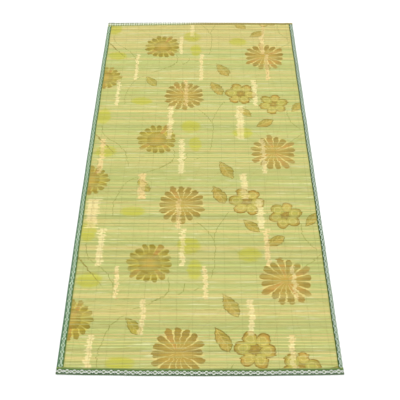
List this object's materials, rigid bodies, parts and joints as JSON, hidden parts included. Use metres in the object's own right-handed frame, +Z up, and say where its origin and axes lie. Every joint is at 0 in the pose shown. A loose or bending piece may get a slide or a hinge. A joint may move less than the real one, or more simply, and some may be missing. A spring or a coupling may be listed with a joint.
{
  "type": "bamboo mat",
  "caption": "Flat floor mat of thin bamboo slats laid side by side, with a floral print and a patterned woven tape folded over all four edges.",
  "frame": {"origin": "on the floor, under the middle of the mat", "axes": "+Y along the length, from the near end to the far end; +X across, along the slats; +Z up, out of the printed face"},
  "size_m": [0.9, 1.8, 0.0069],
  "materials": {
    "bamboo_slats": "thin bamboo slats, dyed yellow-green with a printed floral pattern, satin",
    "binding_tape": "woven green tape with a chain of white lozenges, matte"
  },
  "bodies": {
    "root": {"slat_panel": "bamboo_slats", "binding_left": "binding_tape", "binding_right": "binding_tape", "binding_near": "binding_tape", "binding_far": "binding_tape"}
  },
  "joints": []
}
